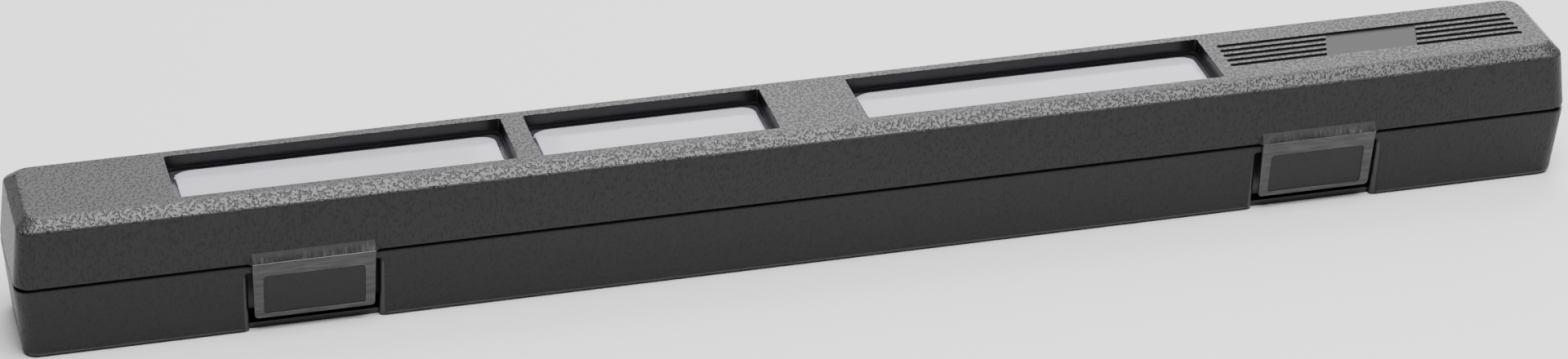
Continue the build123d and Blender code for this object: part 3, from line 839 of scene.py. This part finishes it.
class CASE_OT_window_panes(bpy.types.Operator):
    """Models the three clear panes"""
    bl_idname = "tool_case.window_panes"
    bl_label = "Window panes"

    def execute(self, context):
        make_materials()
        s, lid = context.scene.case_sizes, context.scene.lid_sizes
        top = s.lid_top - lid.window_sink - 0.1 * MM
        foot = top - lid.pane_thickness
        for side, (start, end) in window_spans(lid).items():
            grow, deep = lid.pane_overlap, lid.window_width / 2
            pane = rounded_block("clear_pane_" + side, (start - grow, -deep - grow, foot),
                                 (end + grow, deep + grow, top), lid.pane_corner + grow, 6)
            centre = ((start + end) / 2, 0)
            crown(pane, top, centre, end - start + 2 * grow, 2 * (deep + grow), (
                (grow + lid.lip_width + lid.pane_margin, 0), (0.1 * MM, -MOAT_DEPTH), (0.5 * MM, 0),
                (0.2 * MM, MOAT_DEPTH + lid.pane_rise), (2.5 * MM, lid.pane_crown * 0.4),
                (3 * MM, lid.pane_crown * 0.28), (3.5 * MM, lid.pane_crown * 0.2),
                (4 * MM, lid.pane_crown * 0.12)))
            soften(pane, 0.12 * MM, 40)
            edge = lid.lip_width + lid.pane_margin
            half = (end - start) / 2

            def finish_of(middle, normal):
                """The milky raised field is 0; the clearer flange and moat round it, tinted grey as painted
                shade along the frame, are 1.
                """
                across = min(deep - abs(middle.y), half - abs(middle.x - centre[0])) - edge
                return 1 if across < 0.7 * MM else 0

            paint(pane, [MATERIALS["pane"], MATERIALS["flange"]], finish_of)
            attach(pane, "lid")
            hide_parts("window_pane_" + side)
        return {"FINISHED"}


class CASE_OT_latches(bpy.types.Operator):
    """Models one flap with its bead, hook and panel, and copies it"""
    bl_idname = "tool_case.latches"
    bl_label = "Latch flaps"

    def execute(self, context):
        make_materials()
        s, latch = context.scene.case_sizes, context.scene.latch_sizes
        half, reach, thick = latch.width / 2, latch.reach, latch.thickness
        flap = block("flap_left", (-half, 0, -reach), (half, thick, 0))
        edit(flap)
        pick(flap, "VERT", at_height(-reach))
        bpy.ops.transform.resize(value=((half - latch.taper) / half, 1, 1), center_override=(0, 0, -reach))
        done(flap)
        round_edges(flap, lambda line: edge_at(-reach)(line) and abs(
            line.verts[0].co.x - line.verts[1].co.x) < TINY, latch.corner, 6)
        panel = flared_cutter("panel", (latch.border - half, latch.lower_border - reach, -latch.panel_sink),
                              (half - latch.border, -latch.upper_border, 0), latch.panel_corner, 0.25 * MM)
        combine(flap, turned(panel, pi / 2, (0, 0, 0)), "DIFFERENCE")
        lip = block("lip", (-half + latch.taper + MM, thick - 0.2 * MM, -reach + 0.4 * MM),
                    (half - latch.taper - MM, latch.lip_thickness, -reach + latch.lip_length))
        combine(flap, lip, "UNION")
        ledge = s.lid_edge - latch.film_drop - (s.base_height - latch.ledge) + 0.3 * MM
        hook = block("hook", (-HOOK_HALF, thick - 0.5 * MM, -ledge - HOOK_HEIGHT),
                     (HOOK_HALF, thick + HOOK_REACH, -ledge))
        edit(hook)
        pick(hook, "VERT", lambda v: v.co.z < -ledge - TINY and v.co.y > thick)
        bpy.ops.transform.translate(value=(0, -0.9 * MM, 1.2 * MM))
        done(hook)
        combine(flap, hook, "UNION")
        deselect()
        bpy.ops.mesh.primitive_cylinder_add(vertices=24, radius=latch.film_radius, depth=latch.width,
                                            location=(0, 0, 0), rotation=(0, pi / 2, 0))
        bead = bpy.context.object
        bpy.ops.object.transform_apply(location=True, rotation=True, scale=True)
        combine(flap, bead, "UNION")
        soften(flap, 0.2 * MM, 40)
        film_y, film_z = -s.case_depth / 2 - latch.film_proud, s.lid_edge - latch.film_drop
        free_z = film_z - reach
        free_y = -s.case_depth / 2 + s.base_side_lean * (1 - free_z / s.base_height) - 0.45 * MM
        tilt = atan2(free_y - film_y, reach)

        def finish_of(middle, normal):
            """The grained panel's floor is 1, all else is 0."""
            on_floor = abs(middle.y - latch.panel_sink) < 0.02 * MM and normal.y < -0.8
            return 1 if on_floor else 0

        paint(flap, [MATERIALS["flap"], MATERIALS["panel"]], finish_of)
        turned(flap, tilt, (latch_places(s)["left"], film_y, film_z))
        other = copy_along_x(flap, "flap_right", latch_places(s)["right"] - latch_places(s)["left"])
        for piece, side in ((flap, "left"), (other, "right")):
            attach(piece, "latch_" + side)
            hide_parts("latch_" + side)
        return {"FINISHED"}


class CASE_OT_inner_trays(bpy.types.Operator):
    """Gives the nest, the liner and the hinge pins their finish"""
    bl_idname = "tool_case.inner_trays"
    bl_label = "Inner trays"

    def execute(self, context):
        make_materials()
        finishes = {"tool_nest": "sheet", "lid_liner": "sheet", "hinge_pin_left": "steel",
                    "hinge_pin_middle": "steel", "hinge_pin_right": "steel"}
        for node, finish in finishes.items():
            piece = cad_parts[node]
            piece.data.materials.clear()
            piece.data.materials.append(MATERIALS[finish])
        return {"FINISHED"}


class CASE_OT_foam_pads(bpy.types.Operator):
    """Models the foam pads in the nest and under the lid"""
    bl_idname = "tool_case.foam_pads"
    bl_label = "Foam pads"

    def execute(self, context):
        make_materials()
        pads = {"head_pad": ("base", 5.5), "grip_pad": ("base", 5.5), "hold_down_pad_left": ("lid", 4),
                "hold_down_pad_middle": ("lid", 4), "hold_down_pad_right": ("lid", 4)}
        for node, (body, corner) in pads.items():
            low, high = (Vector(corner_of) for corner_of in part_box(node))
            pad = rounded_block(node.replace("_pad", "_foam"), low, high, corner * MM, 6)
            edge = high.z if body == "base" else low.z
            round_edges(pad, edge_at(edge), 1.0 * MM, 4)
            soften(pad, 0.2 * MM, 40)
            paint(pad, [MATERIALS["foam"]], lambda middle, normal: 0)
            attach(pad, body)
            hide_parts(node)
        return {"FINISHED"}


class CASE_OT_stage(bpy.types.Operator):
    """Makes the pale floor, the soft lights and the camera"""
    bl_idname = "tool_case.stage"
    bl_label = "Stage"

    def execute(self, context):
        stage, colours = context.scene.stage_sizes, context.scene.case_colours
        deselect()
        bpy.ops.mesh.primitive_plane_add(size=40, location=(0, 0, 0))
        floor = context.object
        floor.name = "floor"
        material, _, shader = new_material("pale_matt_floor")
        shader.inputs["Base Color"].default_value = colours.floor
        shader.inputs["Roughness"].default_value = 0.9
        shader.inputs["Specular IOR Level"].default_value = 0.1
        floor.data.materials.append(material)
        world = context.scene.world or bpy.data.worlds.new("room")
        context.scene.world = world
        world.use_nodes = True
        world.node_tree.nodes["Background"].inputs["Color"].default_value = (1, 1, 1, 1)
        world.node_tree.nodes["Background"].inputs["Strength"].default_value = stage.room_light

        def card(name, place, facing, wide, high, radiance):
            """Rectangular soft light that faces along a direction."""
            data = bpy.data.lights.new(name, "AREA")
            data.shape, data.size, data.size_y = "RECTANGLE", wide, high
            data.energy = radiance * pi * wide * high
            lamp = bpy.data.objects.new(name, data)
            context.collection.objects.link(lamp)
            lamp.location = place
            lamp.rotation_euler = Vector(facing).to_track_quat("-Z", "Y").to_euler()
            lamp.visible_camera = False

        for name, (place, facing, wide, high, setting) in CARDS.items():
            card(name, place, facing, wide, high, getattr(stage, setting))
        data = bpy.data.cameras.new("camera")
        camera = bpy.data.objects.new("camera", data)
        context.collection.objects.link(camera)
        turn = Matrix((CAMERA_RIGHT, CAMERA_UP, CAMERA_RIGHT.cross(CAMERA_UP))).transposed()
        camera.matrix_world = Matrix.Translation(stage.camera_place) @ turn.to_4x4()
        data.lens, data.sensor_width, data.sensor_fit = stage.focal, 36, "HORIZONTAL"
        data.clip_start, data.clip_end = 0.05, 100
        context.scene.camera = camera
        return {"FINISHED"}


class CASE_PT_panel(bpy.types.Panel):
    """Lists the case's pieces in the sidebar"""
    bl_idname = "CASE_PT_panel"
    bl_label = "Tool case"
    bl_space_type = "VIEW_3D"
    bl_region_type = "UI"
    bl_category = "Tool case"

    def draw(self, context):
        for operator in OPERATORS:
            self.layout.operator(operator.bl_idname)


GROUPS = {"case_sizes": CaseSizes, "lid_sizes": LidSizes, "latch_sizes": LatchSizes,
          "stage_sizes": StageSizes, "case_colours": CaseColours}
OPERATORS = (CASE_OT_stage, CASE_OT_base_shell, CASE_OT_lid_shell, CASE_OT_window_panes, CASE_OT_latches,
             CASE_OT_inner_trays, CASE_OT_foam_pads)


def register():
    """Registers the groups, operators and panel, and hangs the groups on the scene."""
    for group in (*GROUPS.values(), *OPERATORS, CASE_PT_panel):
        bpy.utils.register_class(group)
    for name, group in GROUPS.items():
        setattr(bpy.types.Scene, name, bpy.props.PointerProperty(type=group))


def unregister():
    """Undoes what register does."""
    for name in GROUPS:
        delattr(bpy.types.Scene, name)
    for group in (CASE_PT_panel, *OPERATORS[::-1], *list(GROUPS.values())[::-1]):
        bpy.utils.unregister_class(group)


def main():
    """Models the whole case."""
    register()
    bpy.ops.tool_case.stage()
    bpy.ops.tool_case.base_shell()
    bpy.ops.tool_case.lid_shell()
    bpy.ops.tool_case.window_panes()
    bpy.ops.tool_case.latches()
    bpy.ops.tool_case.inner_trays()
    bpy.ops.tool_case.foam_pads()
    deselect()


if __name__ == "__main__":
    main()
